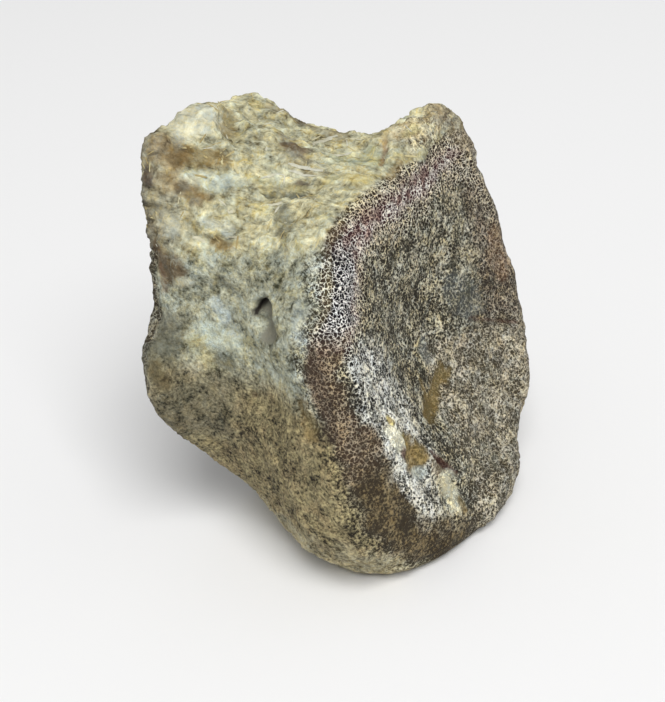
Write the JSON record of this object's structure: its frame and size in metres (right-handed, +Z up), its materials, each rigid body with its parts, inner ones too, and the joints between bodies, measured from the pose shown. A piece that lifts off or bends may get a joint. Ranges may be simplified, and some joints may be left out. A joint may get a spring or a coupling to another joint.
{
  "type": "fossil reptile vertebra",
  "caption": "Fossil phytosaur vertebra: a spool-shaped centrum with two hollow end faces, a rough broken top where the neural arch came off, and worn ventral rims it stands on.",
  "frame": {"origin": "on the table, under the middle of the bone's bounding box", "axes": "+Z up as the bone stands on its worn ventral rims, +X out of the front (near) end face along the centrum, -Y out of the left flank with the canal mouth"},
  "size_m": [0.0473, 0.0551, 0.063],
  "materials": {
    "fossil_bone": "matt mineralised bone, cream and olive with a speckled grain"
  },
  "bodies": {
    "root": {"vertebra": "fossil_bone"}
  },
  "joints": []
}
